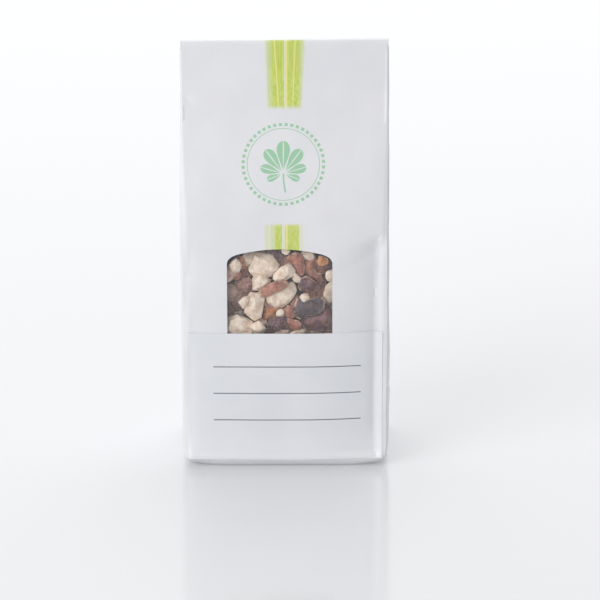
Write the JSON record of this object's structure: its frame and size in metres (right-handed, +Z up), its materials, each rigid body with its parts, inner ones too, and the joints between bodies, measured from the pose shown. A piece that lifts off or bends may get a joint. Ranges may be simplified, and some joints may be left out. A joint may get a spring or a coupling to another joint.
{
  "type": "paper packet of chopped conker",
  "caption": "Standing white paper packet with side gussets, a folded top, a clear window and a bare label, filled with dried chopped conker; it stands on its flat base.",
  "frame": {"origin": "on the ground under the middle of the packet's flat base", "axes": "+Z up along the packet's height; the front with the window and label faces -Y; +X to the right seen from the front"},
  "size_m": [0.103, 0.0697, 0.208],
  "materials": {
    "white_paper": "satin white coated paper",
    "clear_film": "clear glossy film",
    "label_paper": "semi-gloss white label paper",
    "kernel": "matt, chalky cream dried kernel",
    "dark_skin": "low-sheen purple-brown seed coat",
    "russet_skin": "low-sheen red-brown seed coat"
  },
  "bodies": {
    "root": {"dark_skin_flake_01": "dark_skin", "dark_skin_flake_02": "dark_skin", "dark_skin_flake_03": "dark_skin", "dark_skin_flake_04": "dark_skin", "dark_skin_flake_05": "dark_skin", "dark_skin_flake_06": "dark_skin", "dark_skin_flake_07": "dark_skin", "dark_skin_flake_08": "dark_skin", "dark_skin_flake_09": "dark_skin", "dark_skin_flake_10": "dark_skin", "dark_skin_flake_11": "dark_skin", "dark_skin_flake_12": "dark_skin", "dark_skin_flake_13": "dark_skin", "dark_skin_flake_14": "dark_skin", "dark_skin_flake_15": "dark_skin", "dark_skin_flake_16": "dark_skin", "front_label": "label_paper", "kernel_chunk_01": "kernel", "kernel_chunk_02": "kernel", "kernel_chunk_03": "kernel", "kernel_chunk_04": "kernel", "kernel_chunk_05": "kernel", "kernel_chunk_06": "kernel", "kernel_chunk_07": "kernel", "kernel_chunk_08": "kernel", "kernel_chunk_09": "kernel", "kernel_chunk_10": "kernel", "kernel_chunk_11": "kernel", "kernel_chunk_12": "kernel", "kernel_chunk_13": "kernel", "kernel_chunk_14": "kernel", "kernel_chunk_15": "kernel", "kernel_chunk_16": "kernel", "kernel_chunk_17": "kernel", "kernel_chunk_18": "kernel", "kernel_chunk_19": "kernel", "kernel_chunk_20": "kernel", "kernel_chunk_21": "kernel", "kernel_chunk_22": "kernel", "kernel_chunk_23": "kernel", "kernel_chunk_24": "kernel", "packed_seed": "kernel", "paper_bag": "white_paper", "russet_skin_flake_01": "russet_skin", "russet_skin_flake_02": "russet_skin", "russet_skin_flake_03": "russet_skin", "russet_skin_flake_04": "russet_skin", "russet_skin_flake_05": "russet_skin", "russet_skin_flake_06": "russet_skin", "russet_skin_flake_07": "russet_skin", "russet_skin_flake_08": "russet_skin", "russet_skin_flake_09": "russet_skin", "russet_skin_flake_10": "russet_skin", "russet_skin_flake_11": "russet_skin", "window_film": "clear_film"}
  },
  "joints": []
}
